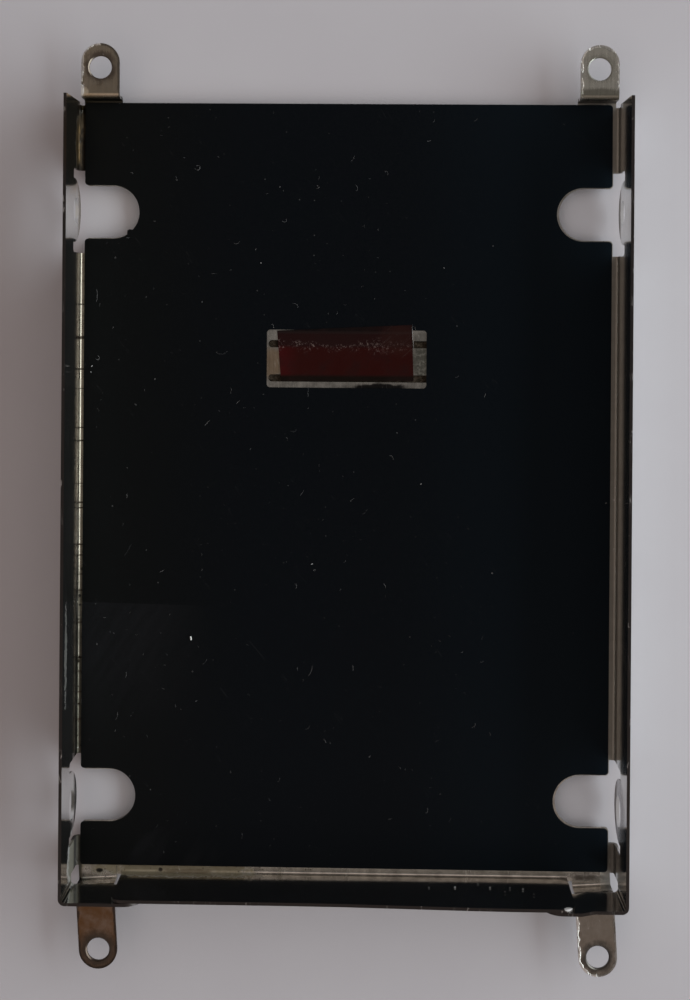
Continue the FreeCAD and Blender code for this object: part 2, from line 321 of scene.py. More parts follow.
# screw holes painted pale: a painted highlight on the bores, over the screws' scraping
bore_highlight = both(in_side, not_sideways, calc(tree, "LESS_THAN", z, 3.5), calc(tree, "GREATER_THAN", z, 1.85),
            calc(tree, "LESS_THAN", calc(tree, "MINIMUM", *from_row), 2.0))
lay(bore_highlight, HOLE_PAINTED_HIGHLIGHT, 0.4, 0.9)
print("cut edges darkened, screw holes brightened")

# %% [markdown]
# ### Inner faces
# The sheet is thin, so a stain placed by its distance from a point would show on the back of the wall as
# well. The dirt below belongs to the tray's inner faces, and again the direction of the surface tells them
# apart.

# %% Steel: inner faces
outward = calc(tree, "MULTIPLY", facing[0], calc(tree, "SIGN", x))
outside = both(calc(tree, "GREATER_THAN", from_middle, 34.7), calc(tree, "GREATER_THAN", outward, 0.2))
behind = both(calc(tree, "LESS_THAN", y, -48.0), calc(tree, "LESS_THAN", facing[1], -0.5))
below = calc(tree, "LESS_THAN", facing[2], -0.3)
inside = calc(tree, "SUBTRACT", 1.0, either(outside, behind, below))
print("outer faces kept clean")

# %% [markdown]
# ### Glue, rust, grime and painted light
# The front left fold is crusted with old glue, more of it runs along the rear fold, and black film has torn
# off on to the strip behind the strap. Each is a ragged patch at its own place. Two patches are painted
# light and shade: a pale one on a burr by the right flap is a painted highlight, and the rear right lug is
# painted darker as a painted reflection of the shaded paper in its notch.

# %% Steel: stains
STAINS_AND_PAINTED_LIGHT = [
    # centre and reach in mm, colour, strength, raggedness, how much metal it hides
    # glue in the front left fold: its ground, its crust, its foot, its smear on the wall and its dark end
    ((-34.7, 47.6, 0.6), (1.5, 10.0, 1.7), (0.004, 0.0032, 0.0018), 1.0, 0.4, 0.0),
    ((-34.95, 46.8, 0.9), (0.9, 5.6, 1.7), (0.036, 0.028, 0.015), 1.0, 0.8, 0.5),
    ((-34.68, 45.3, 0.45), (0.42, 3.9, 0.40), (0.006, 0.0045, 0.002), 1.0, 0.7, 0.0),
    ((-35.1, 46.7, 2.6), (0.5, 4.4, 1.8), (0.150, 0.115, 0.066), 1.0, 0.9, 0.12),
    ((-35.0, 43.5, 1.6), (0.8, 1.1, 2.6), (0.012, 0.009, 0.006), 1.0, 0.6, 0.1),
    # feet of the front ears, left and right
    ((-32.4, 52.9, 0.6), (5.4, 1.6, 2.6), (0.028, 0.025, 0.018), 0.98, 0.3, 0.0),
    ((-34.3, 53.6, 2.6), (0.8, 0.7, 0.9), (0.14, 0.075, 0.03), 0.7, 1.0, 0.4),
    ((31.6, 52.9, 0.6), (3.6, 0.9, 0.9), (0.038, 0.037, 0.032), 0.85, 0.5, 0.3),
    # glue along the rear fold, with dark spots
    ((-23.0, -47.7, 0.8), (15.0, 1.3, 1.7), (0.165, 0.132, 0.072), 0.85, 1.5, 0.45),
    ((-32.0, -48.05, 0.55), (0.62, 0.34, 0.6), (0.008, 0.006, 0.003), 1.0, 0.5, 0.0),
    ((-24.0, -47.86, 0.42), (0.34, 0.3, 0.5), (0.012, 0.009, 0.005), 1.0, 0.4, 0.0),
    ((-28.8, -48.15, 2.5), (1.1, 0.5, 1.0), (0.010, 0.008, 0.005), 0.9, 1.2, 0.0),
    ((-20.5, -48.0, 0.6), (4.5, 0.4, 0.5), (0.085, 0.06, 0.034), 0.7, 1.4, 0.3),
    # rust at the rear right, the dull corner beside it, and a painted highlight on a burr by the right flap
    ((31.5, -48.05, 0.9), (4.6, 0.7, 0.9), (0.05, 0.036, 0.026), 0.85, 1.1, 0.2),
    ((34.6, -45.9, 0.8), (1.5, 4.6, 1.8), (0.20, 0.192, 0.178), 0.8, 0.6, 0.0),
    ((28.1, -48.4, 9.8), (0.62, 0.34, 0.6), (0.42, 0.41, 0.40), 1.0, 1.0, 0.9),
    # left wall: behind the lug, a spot in the fold, and a long scrape
    ((-35.0, -45.6, 2.6), (1.0, 4.4, 4.2), (0.088, 0.081, 0.058), 0.95, 0.6, 0.9),
    ((-34.9, -13.2, 0.8), (0.6, 2.2, 1.0), (0.10, 0.085, 0.05), 0.8, 1.4, 0.7),
    ((-35.1, -18.6, 8.0), (0.6, 7.6, 0.8), (0.42, 0.41, 0.38), 1.0, 2.4, 0.14),
    # rear right lug painted darker: a painted reflection of the shaded paper in its notch
    ((35.1, -38.2, 3.6), (0.6, 6.0, 6.0), (0.34, 0.325, 0.33), 0.9, 0.5, 0.0),
    # bare ends of the strap, and torn film on the strip
    ((-9.9, 18.6, 0.4), (2.2, 2.6, 0.4), (0.24, 0.172, 0.105), 0.85, 0.4, 0.0),
    ((9.5, 18.7, 0.4), (1.7, 2.6, 0.4), (0.085, 0.088, 0.072), 0.9, 1.5, 0.0),
    ((9.7, 21.9, 0.4), (1.7, 1.0, 0.4), (0.16, 0.16, 0.145), 0.8, 1.0, 0.0),
    ((4.2, 15.42, 0.4), (4.9, 0.78, 0.5), (0.004, 0.004, 0.005), 0.97, 0.9, 0.0),
]
for centre, reach, tint, strength, ragged, hides in STAINS_AND_PAINTED_LIGHT:
    blot = use(tree, patch, Place=place, Centre=centre, Reach=reach, Ragged=ragged)
    lay(both(blot, inside, strength), tint, 0.15 + 0.4 * hides, hides)
print(len(STAINS_AND_PAINTED_LIGHT), "stains")

# %% [markdown]
# ### Crusts and specks
# Old glue isn't even: it has dark crusts, and it has browned the wall above it. The rear band is specked,
# and the right end of the strap is blotched. These are noises and grains that are let through only at those
# places.

# %% Steel: crusts and specks
specks = use(tree, dust, Place=place, Per_mm=3.2, Share=0.34, Grain=0.34)
rear_band = both(spread(tree, y, -46.9, -47.1), spread(tree, z, 2.4, 1.6), spread(tree, x, 6.0, -8.0))
lay(both(specks, rear_band, inside), (0.06, 0.046, 0.028), 0.2, 0.2)
crust = noise(tree, vector_calc(tree, "MULTIPLY", place, (1.0, 0.6, 1.0)), 1.5, 1.0, 0.4)
crust = both(spread(tree, crust, 0.47, 0.57), spread(tree, z, 2.4, 1.0, 0.4, 0.9))
on_glue = use(tree, patch, Place=place, Centre=(-35.0, 46.6, 1.4), Reach=(1.2, 7.0, 4.5), Ragged=0.6)
lay(both(on_glue, inside, crust), (0.010, 0.007, 0.0025), 0.1)
browned = use(tree, patch, Place=place, Centre=(-35.1, 47.0, 4.5), Reach=(1.0, 8.0, 9.0), Ragged=0.6)
colour = mix(tree, both(browned, inside), colour, (1.0, 0.87, 0.70, 1), "MULTIPLY")
strap_end = use(tree, patch, Place=place, Centre=(9.5, 18.7, 0.4), Reach=(2.2, 2.4, 0.5), Ragged=0.8)
blotches = noise(tree, place, 2.2, 4.0, 0.7)
lay(both(strap_end, spread(tree, blotches, 0.48, 0.62)), (0.24, 0.24, 0.21))
print("rear band specked, glue crusted, strap blotched")

# %% [markdown]
# ### Folds
# The window's light runs along the left fold as one bright line. In use the line has been broken: short
# dark nicks cross it, its brightness wanders where the fold is dented, and towards the rear it fades under
# dirt and pits. The right fold turns away from the window and is only duller.

# %% Steel: folds
NICKS = [                           # place along the fold and half width, in mm
    (26.05, 0.12), (21.68, 0.30), (17.56, 0.16), (15.0, 0.08), (9.9, 0.10), (8.2, 0.16), (2.6, 0.06),
    (0.1, 0.16), (-0.6, 0.13), (-5.4, 0.16), (-6.8, 0.12), (-9.3, 0.10), (-11.4, 0.14),
    (-15.6, 0.12), (-20.2, 0.16), (-22.0, 0.12), (-24.7, 0.14), (-28.3, 0.18),
]
dull_fold = both(inside, spread(tree, x, 33.2, 33.5), spread(tree, z, 2.6, 1.6))
rough = calc(tree, "ADD", rough, calc(tree, "MULTIPLY", dull_fold, 0.25))
colour = mix(tree, dull_fold, colour, (0.84, 0.82, 0.80, 1), "MULTIPLY")
in_fold = both(inside, spread(tree, x, -34.2, -34.5), spread(tree, z, 2.4, 1.6))
wander = noise(tree, vector_calc(tree, "MULTIPLY", place, (0.3, 1.0, 0.3)), 0.9, 6.0, 0.75)
rough = calc(tree, "ADD", rough, both(in_fold, spread(tree, wander, 0.3, 0.7, 0.0, 0.26)))
colour = mix(tree, in_fold, colour, (1.0, 0.93, 0.82, 1), "MULTIPLY")
grimy = spread(tree, y, 14.0, -30.0, 0.0, 1.1)
grimy = calc(tree, "ADD", grimy, spread(tree, wander, 0.3, 0.7, -0.25, 0.12))
lay(both(in_fold, spread(tree, grimy, 0.0, 1.1, 0.0, 0.93)), (0.045, 0.042, 0.032), 0.05)
for nick, half in NICKS:
    across_it = calc(tree, "ABSOLUTE", calc(tree, "SUBTRACT", y, nick))
    lay(both(in_fold, spread(tree, across_it, half, half * 0.4, 0.0, 0.95)), (0.035, 0.026, 0.018), 0.15)
pits = use(tree, dust, Place=place, Per_mm=2.0, Share=0.5, Grain=0.5)
lay(both(in_fold, pits, spread(tree, y, 4.0, -14.0)), (0.008, 0.006, 0.004), 0.1)
upper_half = both(in_fold, spread(tree, z, 0.52, 0.68), spread(tree, y, 2.0, -14.0, 0.0, 0.9))
lay(upper_half, (0.012, 0.010, 0.008), 0.1)
flecks = use(tree, dust, Place=place, Per_mm=2.2, Share=0.22, Grain=0.22)
flecked = both(inside, spread(tree, x, -34.9, -35.0), spread(tree, z, 4.5, 2.5), spread(tree, y, 0.0, -3.0),
               spread(tree, y, -18.0, -12.0))
lay(both(flecks, flecked), (0.30, 0.28, 0.22), 0.4, 0.8)
print(len(NICKS), "nicks in the left fold")

# %% [markdown]
# ### Ears
# Screws have been driven through the ears many times. Each ear has its own tone, a ring where the screw
# heads have rubbed, and a rim that is torn and dark, or has a burr that stands up and catches the window.
# The ring needs the distance from the hole, and the rim needs the distance from the ear's outline, which is
# a strip with a round end.

# %% Steel: ears
EAR_HALF = 2.475                    # half an ear's width, in mm
EAR_TOP = 2.3                       # ears lie above this height, in mm
EARS = [
    # hole, its distance from the round end's centre, way back to the tray, colours, ring's reach,
    # and the burr's strength on the left and right
    dict(hole=(-32.2, 56.72), beyond=0.625, back=(0.0, -1.0), tone=(0.345, 0.29, 0.215),
         ring=(0.10, 0.08, 0.065), reach=2.5, rim=(0.11, 0.10, 0.085), burrs=(0.7, 0.0)),
    dict(hole=(32.2, 56.72), beyond=0.625, back=(0.0, -1.0), tone=(0.58, 0.57, 0.50),
         ring=(0.30, 0.295, 0.255), reach=2.2, rim=(0.42, 0.42, 0.39), burrs=(0.45, 0.25)),
    dict(hole=(-31.68, -57.33), beyond=0.0, back=(-0.063, 0.998), tone=(0.135, 0.072, 0.035),
         ring=(0.055, 0.045, 0.037), reach=3.3, rim=(0.03, 0.024, 0.02), burrs=(0.0, 0.0)),
    dict(hole=(32.72, -57.33), beyond=0.0, back=(-0.063, 0.998), tone=(0.205, 0.18, 0.15),
         ring=(0.07, 0.065, 0.058), reach=2.4, rim=(0.11, 0.105, 0.095), burrs=(0.75, 0.2)),
]


def flat_way(point):
    """The way to the place on the part from a point, seen from above."""
    return vector_calc(tree, "MULTIPLY", vector_calc(tree, "SUBTRACT", place, point), (1, 1, 0))


def mark_ear(hole, beyond, back, tone, ring, reach, rim, burrs):
    """Gives an ear its tone, its ring and its rim, and tells where its burr stands up."""
    from_hole = length_of(tree, flat_way((*hole, 0)))
    tray_end = 49.3 if hole[1] < 0 else 52.5
    on_ear = both(calc(tree, "GREATER_THAN", z, EAR_TOP), spread(tree, from_hole, 9.3, 8.6),
                  calc(tree, "GREATER_THAN", calc(tree, "ABSOLUTE", y), tray_end))
    from_centre = flat_way((hole[0] - beyond * back[0], hole[1] - beyond * back[1], 0))
    along = add(tree, "VectorMath", {0: from_centre, 1: (*back, 0)}, operation="DOT_PRODUCT").outputs["Value"]
    along = calc(tree, "MAXIMUM", along, 0.0)
    along = add(tree, "VectorMath", {0: (*back, 0), "Scale": along}, operation="SCALE").outputs[0]
    aside = length_of(tree, vector_calc(tree, "SUBTRACT", from_centre, along))
    lay(both(on_ear, spread(tree, mottle, 0.8, 0.3, 0.90, 1.0)), tone, 0.10)
    ragged_hole = calc(tree, "ADD", from_hole, spread(tree, mottle, 0.3, 0.7, -0.25, 0.25))
    lay(both(on_ear, spread(tree, ragged_hole, reach, 1.6, 0.0, 0.9)), ring, 0.10)
    ragged_rim = calc(tree, "ADD", aside, spread(tree, mottle, 0.3, 0.7, -0.14, 0.14))
    at_rim = both(on_ear, spread(tree, ragged_rim, EAR_HALF - 0.36, EAR_HALF - 0.14))
    lay(calc(tree, "MULTIPLY", at_rim, 0.85), rim, 0.08)
    to_right = calc(tree, "GREATER_THAN", x, hole[0])
    kept = calc(tree, "ADD", calc(tree, "MULTIPLY", to_right, burrs[1] - burrs[0]), burrs[0])
    return both(at_rim, kept, spread(tree, worn_edge, 0.42, 0.5))


burr = either(*[mark_ear(**ear) for ear in EARS])
lay(burr, (0.72, 0.71, 0.68))
foot = use(tree, patch, Place=place, Centre=(32.2, 53.5, 3.0), Reach=(5.0, 1.0, 1.4), Ragged=0.5)
lay(calc(tree, "MULTIPLY", foot, 0.85), (0.15, 0.145, 0.115), 0.10)      # where the front right ear bends
print(len(EARS), "ears marked")

# %% [markdown]
# ### Scratches, and the shader
# Hairline scratches lie over everything. Then colour, roughness and metal go to the shader, and two bumps
# add what the solids can't hold: the rolled grain with lumps of dirt, and the burrs on the ears.

# %% Steel: scratches, and the shader
marks = use(tree, scratches, Place=place, Angle=1.45, Per_mm=1.5, Width=0.010, Share=0.40)
lay(calc(tree, "MULTIPLY", marks, 0.25), (0.74, 0.73, 0.71), 0.15)
tree.links.new(colour, shader.inputs["Base Color"])
tree.links.new(rough, shader.inputs["Roughness"])
tree.links.new(calc(tree, "SUBTRACT", 1.0, cover), shader.inputs["Metallic"])
height = calc(tree, "ADD", calc(tree, "MULTIPLY", rolled, 0.6), calc(tree, "MULTIPLY", marks, -0.6))
height = calc(tree, "ADD", height, calc(tree, "MULTIPLY", cover, calc(tree, "MULTIPLY", mottle, 6.0)))
bump = add(tree, "Bump", {"Height": height, "Strength": 0.12, "Distance": 0.02 * MM})
bump = add(tree, "Bump", {"Height": burr, "Strength": 0.8, "Distance": 0.08 * MM, "Normal": bump.outputs[0]})
tree.links.new(bump.outputs[0], shader.inputs["Normal"])
nodes["tray"].material_slots[0].material = steel
print(steel.name, len(tree.nodes), "nodes")

# %% [markdown]
# ## Film
# The insulating film is a thin black plastic sheet with a faint satin tooth. Black plastic shows its dirt
# more than its colour, so most of this finish is dust, smears and hairline scratches. The dust is thickest
# on the left. There a greasy haze ends at a straight line, and the rear left corner is smeared.

# %% Film
FILM_TOP = 0.55                     # height of the film's upper face, in mm
FILM_LEFT = (0.0016, 0.0020, 0.0020, 1)
FILM_MIDDLE = (0.0010, 0.0019, 0.0030, 1)
FILM_RIGHT_PAINTED_LIGHT = (0.0014, 0.0042, 0.0070, 1)
HAZE = (0.0044, 0.0048, 0.0056, 1)
DUST = (0.5, 0.5, 0.48, 1)
SCRATCH = (0.4, 0.4, 0.4, 1)
film, tree, shader, place = new_material("black_film")
x, y, _ = add(tree, "SeparateXYZ", {0: place}).outputs
# the film is painted lighter and bluer towards the right: painted light where the right wall shades it from
# the window
colour = mix(tree, spread(tree, x, -34.0, -8.0), FILM_LEFT, FILM_MIDDLE)
colour = mix(tree, spread(tree, x, 4.0, 30.0), colour, FILM_RIGHT_PAINTED_LIGHT)
turned = add(tree, "VectorRotate", {"Vector": place, "Angle": -1.0}, rotation_type="Z_AXIS").outputs[0]
wiped = noise(tree, vector_calc(tree, "MULTIPLY", turned, (0.08, 0.55, 1.0)), 1.0, 4.0, 0.6)
fresh_edge = calc(tree, "LESS_THAN", y, calc(tree, "ADD", -13.6, calc(tree, "MULTIPLY", x, -0.02)))
haze = both(spread(tree, x, -16.0, -28.0), spread(tree, y, -34.0, -15.0), fresh_edge,
            spread(tree, wiped, 0.25, 0.7, 0.25, 0.9))
smear = use(tree, patch, Place=place, Centre=(-23.0, -45.5, FILM_TOP), Reach=(8.0, 3.6, 5.0), Ragged=1.2)
haze = either(haze, both(smear, spread(tree, wiped, 0.4, 0.75, 0.0, 0.8)))
colour = mix(tree, haze, colour, HAZE)
thick = spread(tree, x, 22.0, -12.0, 0.25, 1.0)
fine = use(tree, dust, Place=place, Per_mm=1.1, Share=0.16, Grain=0.085)
marks = use(tree, scratches, Place=place, Angle=0.9, Per_mm=0.8, Width=0.004, Share=0.38)
colour = mix(tree, calc(tree, "MULTIPLY", marks, 0.012), colour, SCRATCH)
colour = mix(tree, both(fine, thick, 0.10), colour, DUST)
tree.links.new(colour, shader.inputs["Base Color"])
satin = noise(tree, place, 5.0, 2.0)
rough = calc(tree, "ADD", spread(tree, satin, 0.3, 0.7, 0.34, 0.44), calc(tree, "MULTIPLY", haze, 0.10))
tree.links.new(rough, shader.inputs["Roughness"])
bump = add(tree, "Bump", {"Height": satin, "Strength": 0.08, "Distance": 0.04 * MM})
tree.links.new(bump.outputs[0], shader.inputs["Normal"])
shader.inputs["Specular IOR Level"].default_value = 0.08
nodes["floor_film"].material_slots[0].material = film
print(film.name, len(tree.nodes), "nodes")

# %% [markdown]
# ## Tape
# The tape is a glossy red-brown film. Over the bright strap it looks red, and over the black film it goes
# dark. Over the slots it is painted darker too: painted shade for the shaded openings under it. White
# crumbs have stuck along its crease at the upper slot, most of them on the left, and it is scuffed at its
# upper right corner.

# %% Tape
STRAP_Y = 18.85
CREASE_Y = 20.75
OVER_STRAP = (0.0180, 0.0024, 0.0018, 1)
OVER_FRONT_SLOT_SHADE = (0.0112, 0.0032, 0.0030, 1)
OVER_REAR_SLOT_SHADE = (0.0045, 0.0026, 0.0018, 1)
OVER_FILM = (0.0034, 0.0022, 0.0022, 1)
RED_END = (0.034, 0.0030, 0.0032, 1)
TAPE_CLOUD = (0.0085, 0.0024, 0.0020, 1)
TAPE_SCRATCH = (0.45, 0.40, 0.38, 1)
TAPE_SCUFF = (0.022, 0.007, 0.005, 1)
CRUMB = (0.50, 0.37, 0.33, 1)
tape, tree, shader, place = new_material("red_brown_tape")
x, y, _ = add(tree, "SeparateXYZ", {0: place}).outputs
strap = spread(tree, calc(tree, "ABSOLUTE", calc(tree, "SUBTRACT", y, STRAP_Y)), 2.15, 1.55)
cloud = noise(tree, place, 0.45, 4.0)
# over the slots the tape is painted darker: painted shade
under = mix(tree, spread(tree, y, 17.2, 16.9), OVER_FRONT_SLOT_SHADE, OVER_REAR_SLOT_SHADE)
colour = mix(tree, strap, under, OVER_STRAP)
on_film = both(spread(tree, y, 22.2, 23.0), spread(tree, x, 8.0, -1.0, 0.3, 1.0))
colour = mix(tree, on_film, colour, OVER_FILM)
colour = mix(tree, both(strap, spread(tree, x, -6.0, -8.8, 0.0, 0.7)), colour, RED_END)
colour = mix(tree, spread(tree, cloud, 0.45, 0.75, 0.0, 0.55), colour, TAPE_CLOUD)
lumpy = calc(tree, "ADD", y, spread(tree, cloud, 0.25, 0.75, -0.7, 0.7))
crease = spread(tree, calc(tree, "ABSOLUTE", calc(tree, "SUBTRACT", lumpy, CREASE_Y)), 0.95, 0.1)
crease = both(crease, spread(tree, x, 4.0, -5.0, 0.55, 1.0))
grit = noise(tree, vector_calc(tree, "MULTIPLY", place, (1.0, 0.8, 1.0)), 3.2, 5.0, 0.75)
crumbs = both(spread(tree, grit, 0.53, 0.66), crease)
scuffed = use(tree, patch, Place=place, Centre=(6.8, 21.6, 0.6), Reach=(3.2, 2.6, 2.0), Ragged=1.0)
marks = use(tree, scratches, Place=place, Angle=-0.75, Per_mm=1.6, Width=0.010, Share=0.50)
marks = both(marks, calc(tree, "ADD", calc(tree, "MULTIPLY", scuffed, 0.9), 0.05))
colour = mix(tree, calc(tree, "MULTIPLY", marks, 0.10), colour, TAPE_SCRATCH)
colour = mix(tree, calc(tree, "MULTIPLY", scuffed, 0.4), colour, TAPE_SCUFF)
colour = mix(tree, calc(tree, "MULTIPLY", crumbs, 0.26), colour, CRUMB)
tree.links.new(colour, shader.inputs["Base Color"])
rough = calc(tree, "ADD", spread(tree, cloud, 0.3, 0.8, 0.26, 0.40), calc(tree, "MULTIPLY", crumbs, 0.3))
tree.links.new(rough, shader.inputs["Roughness"])
height = calc(tree, "ADD", cloud, calc(tree, "MULTIPLY", crumbs, 2.0))
bump = add(tree, "Bump", {"Height": height, "Strength": 0.15, "Distance": 0.05 * MM})
tree.links.new(bump.outputs[0], shader.inputs["Normal"])
shader.inputs["Specular IOR Level"].default_value = 0.10
nodes["strap_tape"].material_slots[0].material = tape
print(tape.name, len(tree.nodes), "nodes")

# %% [markdown]
# ## Mesh helpers
# The loose pieces below are all closed skins over a row of rings, like a stocking over hoops. One helper
# stretches the skin and caps both ends, and another puts the finished mesh into the scene.

# %% Mesh helpers
def skin(mesh, rings):
    """Closes a skin over rings of as many vertices each, with a cap at both ends."""
    count = len(rings[0])
    for first, second in zip(rings, rings[1:]):
        for corner in range(count):
            after = (corner + 1) % count
            mesh.faces.new((first[corner], first[after], second[after], second[corner]))
    mesh.faces.new(rings[0][::-1])
    mesh.faces.new(rings[-1])


def settle(name, mesh, material):
    """Turns a finished mesh into an object of the scene."""
    data = bpy.data.meshes.new(name)
    mesh.to_mesh(data)
    mesh.free()
    data.materials.append(material)
    made = bpy.data.objects.new(name, data)
    bpy.context.scene.collection.objects.link(made)
    return made


print("mesh helpers ready")

# %% [markdown]
# ## Lint
# Fibres and flecks lie on the film. As a texture they would be round dots, but lint is thin and curled, and
# it stands a little off the surface. So each fibre is a fine bent tube that lies flat and curls evenly.

# %% Lint: a fibre
TUBE_SIDES = 5
FIBRE_STEPS = 7
UP = Vector((0, 0, 1))
lint_mesh = bmesh.new()


def tube(points, radius):
    """A closed tube along some points, in millimetres."""
    rings = []
    for index, point in enumerate(points):
        ahead = points[min(index + 1, len(points) - 1)] - points[max(index - 1, 0)]
        aside = Vector((-ahead.y, ahead.x, 0)).normalized()
        turns = [2 * math.pi * corner / TUBE_SIDES for corner in range(TUBE_SIDES)]
        ring = [point + radius * (math.cos(turn) * aside + math.sin(turn) * UP) for turn in turns]
        rings.append([lint_mesh.verts.new(corner * MM) for corner in ring])
    skin(lint_mesh, rings)


def fibre(middle, length, angle, curl, radius):
    """A fibre that lies flat and bends evenly by its curl."""
    heading = math.radians(angle - curl / 2)
    points = [Vector((0, 0, 0))]
    for step in range(FIBRE_STEPS):
        points.append(points[-1] + length / FIBRE_STEPS * Vector((math.cos(heading), math.sin(heading), 0)))
        heading += math.radians(curl) / (FIBRE_STEPS - 1)
    centre = sum(points, Vector()) / len(points)
    tube([point - centre + middle + Vector((0, 0, radius)) for point in points], radius)


print("fibres have", FIBRE_STEPS, "steps")

# %% [markdown]
# ### Lint that can be told apart
# The larger fibres and flecks lie where they lie on the real film. Their places were read off the picture,
# so they are given as columns and rows, and the camera's own geometry brings them down on to the film.

# %% Lint: fibres told apart
PIXEL = 1 / 7.66                    # of the picture, in mm on the film
FIBRES = [
    # column and row in the picture, length in pixels, angle and curl in degrees
    (198, 168, 13, 70, 230), (319, 178, 5, 80, 20), (318, 187, 7, 90, 200), (353, 159, 8, 55, 30),
    (387, 173, 8, 120, 120), (357, 188, 8, 95, 60), (429, 141, 5, 10, 20), (476, 120, 6, 40, 60),
    (434, 121, 4, 60, 40), (285, 221, 8, 30, 150), (237, 243, 8, 20, 110), (296, 305, 9, 140, 90),
    (97, 296, 15, 88, 25), (222, 353, 15, 5, 80), (231, 391, 6, 85, 20), (308, 391, 8, 88, 30),
    (238, 402, 5, 40, 30), (207, 423, 7, 50, 15), (287, 439, 5, 100, 60), (294, 431, 8, 15, 120),
    (98, 358, 9, 60, 200), (457, 377, 5, 20, 40), (485, 395, 5, 80, 50), (392, 457, 7, 130, 100),
    (302, 493, 7, 55, 20), (296, 586, 7, 100, 90), (126, 675, 7, 85, 15), (117, 716, 10, 75, 20),
    (308, 728, 6, 40, 60), (325, 741, 5, 120, 40), (279, 780, 6, 70, 90), (242, 836, 7, 88, 20),
    (162, 571, 5, 30, 50), (128, 550, 15, 58, 10), (127, 496, 5, 90, 40), (311, 671, 12, 70, 30),
    (205, 662, 9, 50, 60), (352, 500, 6, 35, 40), (365, 512, 8, 50, 30), (385, 586, 6, 110, 60),
    (482, 638, 5, 60, 40), (482, 662, 5, 20, 60), (353, 668, 6, 95, 40), (474, 726, 7, 45, 70),
    (490, 734, 5, 100, 50), (437, 741, 5, 30, 40), (427, 811, 8, 70, 100), (450, 820, 5, 60, 30),
    (390, 819, 5, 15, 40), (308, 395, 5, 95, 20), (273, 326, 6, 110, 40), (412, 327, 6, 80, 30),
    (415, 328, 5, 110, 60), (329, 386, 6, 70, 20), (128, 238, 3, 0, 20), (114, 236, 3, 30, 20),
]
FLECKS = [                          # column, row, and size in mm
    (493, 246, 0.07), (444, 268, 0.08), (261, 263, 0.08), (92, 366, 0.10), (91, 372, 0.08), (191, 638, 0.21),
    (312, 564, 0.10), (421, 484, 0.08), (492, 573, 0.09), (280, 187, 0.06), (155, 379, 0.06),
    (114, 633, 0.06), (177, 180, 0.05), (202, 302, 0.06), (457, 326, 0.05), (410, 637, 0.05),
    (606, 503, 0.09),
]
TAPE_EDGE = [(412.4, 333, 13), (413.4, 345, 8)]     # loose threads: column, row, and length in pixels
WALL_FLECKS = [                     # on the end wall: column, height and size in mm
    (429, 4.3, 0.05), (455, 4.1, 0.09), (490, 4.0, 0.07), (510, 4.1, 0.05), (523, 4.4, 0.07),
    (478, 2.9, 0.04), (534, 6.0, 0.04), (505, 5.4, 0.04),
]
WALL_ROW = 886
WALL_Y = -48.1
FLECK_SHAPE = (2.2, 0.5)            # length and radius of a fleck, as shares of its size
FIBRE_RADIUS = 0.008                # in mm
FIBRE_SHARE = 0.85                  # of its length in the picture
THREAD_RADIUS = 0.022               # in mm
THREAD_ANGLE = 93
THREAD_CURL = 8
chance = random.Random(12)
for column, row, length, angle, curl in FIBRES:
    fibre(spot(column, row, FILM_TOP) / MM, length * FIBRE_SHARE * PIXEL, angle, curl, FIBRE_RADIUS)
for column, row, size in FLECKS:
    angle, curl = chance.uniform(0, 180), chance.uniform(0, 60)
    fibre(spot(column, row, FILM_TOP) / MM, size * FLECK_SHAPE[0], angle, curl, size * FLECK_SHAPE[1])
for column, row, length in TAPE_EDGE:
    fibre(spot(column, row, FILM_TOP) / MM, length * PIXEL, THREAD_ANGLE, THREAD_CURL, THREAD_RADIUS)
for column, height, size in WALL_FLECKS:
    at = spot(column, WALL_ROW, height) / MM
    fibre(Vector((at.x, WALL_Y, height)), size * FLECK_SHAPE[0], 0, 0, size * FLECK_SHAPE[1])
print(len(FIBRES), "fibres,", len(FLECKS), "flecks and", len(TAPE_EDGE), "threads on the film,",
      len(WALL_FLECKS), "flecks on the end wall")

# %% [markdown]
# ### Strewn lint
# A few hundred shorter fibres are strewn from a fixed seed, fewer towards the right, and none over a notch
# or the window. Thin fibres let the black through, so only the thick flecks are white.

# %% Lint: strewn, and its finish
STREWN = 260
STREWN_X = (-33.5, 33.0)
STREWN_Y = (-46.5, 51.5)
STREWN_LENGTH = (0.10, 0.40)
STREWN_RADII = (0.003, 0.004, 0.005, 0.007)
FLUFF_PALE = (0.32, 0.32, 0.31, 1)
FLUFF_DARK = (0.075, 0.078, 0.084, 1)
FLECK_WHITE = (0.60, 0.60, 0.58, 1)
laid = 0
while laid < STREWN:
    middle = Vector((chance.uniform(*STREWN_X), chance.uniform(*STREWN_Y), FILM_TOP))
    share = 1.0 if middle.x < 4 else 0.55 if middle.x < 16 else 0.12
    in_notch = abs(middle.x) > 26 and min(abs(middle.y - row) for row in LUG_ROWS) < 4
    in_window = abs(middle.x) < 11 and 15 < middle.y < 24
    if chance.random() < share and not in_notch and not in_window:
        fibre(middle, chance.uniform(*STREWN_LENGTH), chance.uniform(0, 180), chance.uniform(0, 160),
              chance.choice(STREWN_RADII))
        laid += 1
fluff, tree, shader, place = new_material("pale_fluff")
height = add(tree, "SeparateXYZ", {0: place}).outputs[2]
tone = noise(tree, place, 0.4, 2.0)
colour = mix(tree, spread(tree, tone, 0.35, 0.65), FLUFF_PALE, FLUFF_DARK)
colour = mix(tree, spread(tree, height, FILM_TOP + 0.05, FILM_TOP + 0.15), colour, FLECK_WHITE)
tree.links.new(colour, shader.inputs["Base Color"])
shader.inputs["Roughness"].default_value = 0.85
lint = settle("lint", lint_mesh, fluff)
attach(lint, "root")
print("lint:", laid, "strewn,", len(lint.data.polygons), "faces in all")
